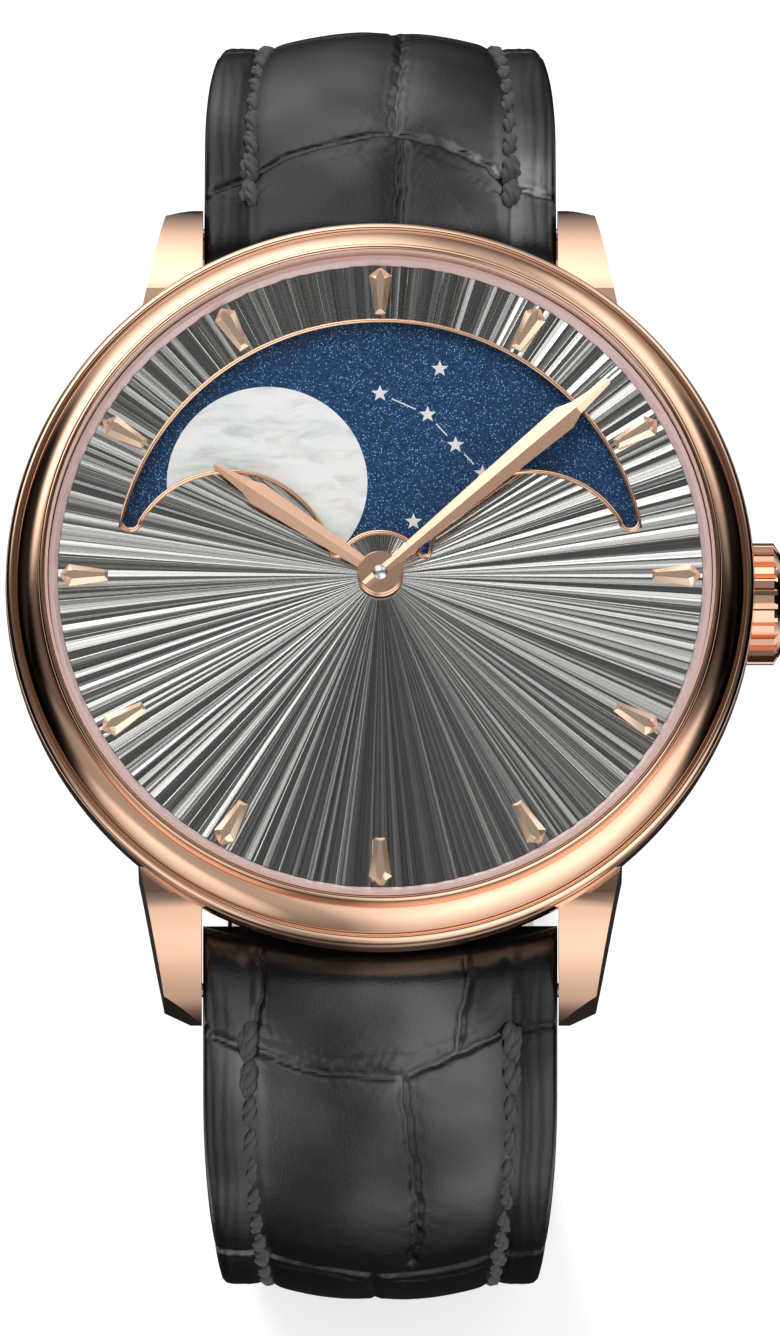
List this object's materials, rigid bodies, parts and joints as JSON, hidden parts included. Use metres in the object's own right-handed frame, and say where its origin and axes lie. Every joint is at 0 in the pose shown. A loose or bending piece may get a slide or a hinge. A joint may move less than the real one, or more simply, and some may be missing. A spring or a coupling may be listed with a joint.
{
  "type": "moon phase watch",
  "caption": "Round mechanical moon phase wristwatch with a stepped bezel, fluted crown, four lugs, dark guilloche dial with a curved moon window, and a padded leather strap with pin buckle.",
  "frame": {"origin": "point of the flat strap stretch the watch stands on, straight below the case axis", "axes": "+Z out of the dial along the case axis, +Y towards 12 o'clock, +X towards the crown at 3 o'clock"},
  "size_m": [0.0435, 0.0776, 0.0779],
  "materials": {
    "rose_gold": "polished rose gold",
    "pale_gold": "polished pale gold",
    "sapphire": "clear, polished",
    "gasket": "matt",
    "dial_grey": "sunray, silky",
    "flange": "polished",
    "aventurine": "sparkling dark blue",
    "pearl": "mother of pearl",
    "star_white": "satin",
    "steel": "fine brushed",
    "nickel": "striped, rhodium plated",
    "wheel_brass": "fine brushed",
    "ruby": "polished",
    "leather": "semi-gloss embossed"
  },
  "bodies": {
    "case": {"balance_cock": "nickel", "barrel_bridge": "nickel", "bezel": "rose_gold", "bridge_screws": "steel", "case_back_crystal": "sapphire", "case_back_gasket": "gasket", "case_back_ring": "rose_gold", "case_middle": "rose_gold", "crown_tube": "rose_gold", "crystal": "sapphire", "crystal_gasket": "gasket", "dial": "dial_grey", "flange_ring": "flange", "hairspring": "steel", "hour_markers": "pale_gold", "jewels": "ruby", "main_plate": "nickel", "movement_ring": "nickel", "pallet_cock": "nickel", "spring_bar_12": "steel", "spring_bar_6": "steel", "train_bridge": "nickel", "window_frame": "pale_gold"},
    "crown_slide": {"crown_seal": "gasket"},
    "crown": {"crown": "rose_gold", "winding_stem": "steel", "sliding_pinion": "steel"},
    "winding_pinion": {"winding_pinion": "steel"},
    "crown_wheel": {"crown_wheel": "steel"},
    "ratchet": {"ratchet_wheel": "steel", "barrel_arbor": "steel", "ratchet_screw": "steel"},
    "barrel": {"barrel": "wheel_brass", "mainspring": "steel"},
    "centre_wheel": {"centre_wheel": "wheel_brass"},
    "third_wheel": {"third_wheel": "wheel_brass"},
    "fourth_wheel": {"fourth_wheel": "wheel_brass"},
    "escape_wheel": {"escape_wheel": "steel"},
    "pallet_fork": {"pallet_fork": "steel"},
    "balance": {"balance_wheel": "wheel_brass"},
    "click": {"click": "steel"},
    "minute": {"minute_hand": "pale_gold", "cannon_pinion": "steel", "hand_pin": "pale_gold"},
    "hour": {"hour_hand": "pale_gold", "hour_wheel": "wheel_brass"},
    "minute_wheel": {"minute_wheel": "wheel_brass"},
    "moon_wheel_1": {"moon_wheel_1": "wheel_brass"},
    "moon_wheel_2": {"moon_wheel_2": "wheel_brass"},
    "moon_disc": {"moon_disc": "aventurine", "moons": "pearl", "stars": "star_white", "moon_ring_gear": "wheel_brass"},
    "strap_12": {"strap_12": "leather", "sewn_keeper": "leather"},
    "strap_6": {"strap_6": "leather"},
    "loose_keeper": {"loose_keeper": "leather"},
    "buckle": {"buckle_frame": "rose_gold", "buckle_bar": "rose_gold"},
    "tongue": {"buckle_tongue": "rose_gold"}
  },
  "joints": [
    {"name": "crown_pull", "type": "slide", "parent": "case", "child": "crown_slide", "axis": [1, 0, 0], "range_m": [0, 0.0012]},
    {"name": "crown_spin", "type": "hinge", "parent": "crown_slide", "child": "crown", "pos_m": [0, 0, 0.06966], "axis": [1, 0, 0], "continuous": true},
    {"name": "winding_pinion_turn", "type": "hinge", "parent": "case", "child": "winding_pinion", "pos_m": [0, 0, 0.06966], "axis": [1, 0, 0], "continuous": true},
    {"name": "crown_wheel_turn", "type": "hinge", "parent": "case", "child": "crown_wheel", "pos_m": [0.01, 0, 0.0662], "axis": [0, 0, -1], "continuous": true},
    {"name": "ratchet_turn", "type": "hinge", "parent": "case", "child": "ratchet", "pos_m": [0.00419, 0.00607, 0.0662], "axis": [0, 0, -1], "continuous": true},
    {"name": "moon_disc_turn", "type": "hinge", "parent": "case", "child": "moon_disc", "pos_m": [0, 0, 0.0662], "axis": [0, 0, -1], "continuous": true},
    {"name": "minute_hand_turn", "type": "hinge", "parent": "case", "child": "minute", "pos_m": [0, 0, 0.0662], "axis": [0, 0, -1], "continuous": true},
    {"name": "hour_hand_turn", "type": "hinge", "parent": "case", "child": "hour", "pos_m": [0, 0, 0.0662], "axis": [0, 0, -1], "continuous": true},
    {"name": "minute_wheel_turn", "type": "hinge", "parent": "case", "child": "minute_wheel", "pos_m": [0.00192, 0.00333, 0.0662], "axis": [0, 0, -1], "continuous": true},
    {"name": "moon_wheel_1_turn", "type": "hinge", "parent": "case", "child": "moon_wheel_1", "pos_m": [-0.00714, -0.0026, 0.0662], "axis": [0, 0, -1], "continuous": true},
    {"name": "moon_wheel_2_turn", "type": "hinge", "parent": "case", "child": "moon_wheel_2", "pos_m": [-0.01049, -0.00382, 0.0662], "axis": [0, 0, -1], "continuous": true},
    {"name": "barrel_turn", "type": "hinge", "parent": "case", "child": "barrel", "pos_m": [0.00419, 0.00607, 0.0662], "axis": [0, 0, -1], "continuous": true},
    {"name": "centre_wheel_turn", "type": "hinge", "parent": "case", "child": "centre_wheel", "pos_m": [0, 0, 0.0662], "axis": [0, 0, -1], "continuous": true},
    {"name": "third_wheel_turn", "type": "hinge", "parent": "case", "child": "third_wheel", "pos_m": [-0.00532, 0.00094, 0.0662], "axis": [0, 0, -1], "continuous": true},
    {"name": "fourth_wheel_turn", "type": "hinge", "parent": "case", "child": "fourth_wheel", "pos_m": [-0.00766, -0.0024, 0.0662], "axis": [0, 0, -1], "continuous": true},
    {"name": "escape_wheel_turn", "type": "hinge", "parent": "case", "child": "escape_wheel", "pos_m": [-0.00573, -0.00574, 0.0662], "axis": [0, 0, -1], "continuous": true},
    {"name": "pallet_fork_rock", "type": "hinge", "parent": "case", "child": "pallet_fork", "pos_m": [-0.00296, -0.00675, 0.0662], "axis": [0, 0, -1], "range_deg": [-4, 4]},
    {"name": "balance_swing", "type": "hinge", "parent": "case", "child": "balance", "pos_m": [0.00042, -0.00798, 0.0662], "axis": [0, 0, -1], "range_deg": [-270, 270]},
    {"name": "click_lift", "type": "hinge", "parent": "case", "child": "click", "pos_m": [0.00985, 0.01003, 0.0662], "axis": [0, 0, -1], "range_deg": [0, 10]},
    {"name": "strap_12_swing", "type": "hinge", "parent": "case", "child": "strap_12", "pos_m": [0, 0.022, 0.0681], "axis": [1, 0, 0], "range_deg": [0, 45]},
    {"name": "strap_6_swing", "type": "hinge", "parent": "case", "child": "strap_6", "pos_m": [0, -0.022, 0.0681], "axis": [-1, 0, 0], "range_deg": [0, 45]},
    {"name": "loose_keeper_slide", "type": "slide", "parent": "strap_12", "child": "loose_keeper", "axis": [0, 0, 1], "range_m": [-0.0015, 0.01]},
    {"name": "buckle_swing", "type": "hinge", "parent": "strap_12", "child": "buckle", "pos_m": [0, 0.0372, 0.01168], "axis": [1, 0, 0], "range_deg": [-45, 60]},
    {"name": "tongue_swing", "type": "hinge", "parent": "buckle", "child": "tongue", "pos_m": [0, 0.0372, 0.01168], "axis": [1, 0, 0], "range_deg": [0, 60]}
  ],
  "couplings": [
    {"joint": "winding_pinion_turn", "follows": "crown_spin", "ratio": 1},
    {"joint": "crown_wheel_turn", "follows": "crown_spin", "ratio": -0.4},
    {"joint": "ratchet_turn", "follows": "crown_spin", "ratio": 0.22222},
    {"joint": "minute_hand_turn", "follows": "moon_disc_turn", "ratio": 1417.5},
    {"joint": "hour_hand_turn", "follows": "moon_disc_turn", "ratio": 118.12},
    {"joint": "minute_wheel_turn", "follows": "moon_disc_turn", "ratio": -472.5},
    {"joint": "moon_wheel_1_turn", "follows": "moon_disc_turn", "ratio": -31.5},
    {"joint": "moon_wheel_2_turn", "follows": "moon_disc_turn", "ratio": 7},
    {"joint": "centre_wheel_turn", "follows": "barrel_turn", "ratio": -7.2},
    {"joint": "third_wheel_turn", "follows": "barrel_turn", "ratio": 57.6},
    {"joint": "fourth_wheel_turn", "follows": "barrel_turn", "ratio": -432},
    {"joint": "escape_wheel_turn", "follows": "barrel_turn", "ratio": 4320}
  ]
}
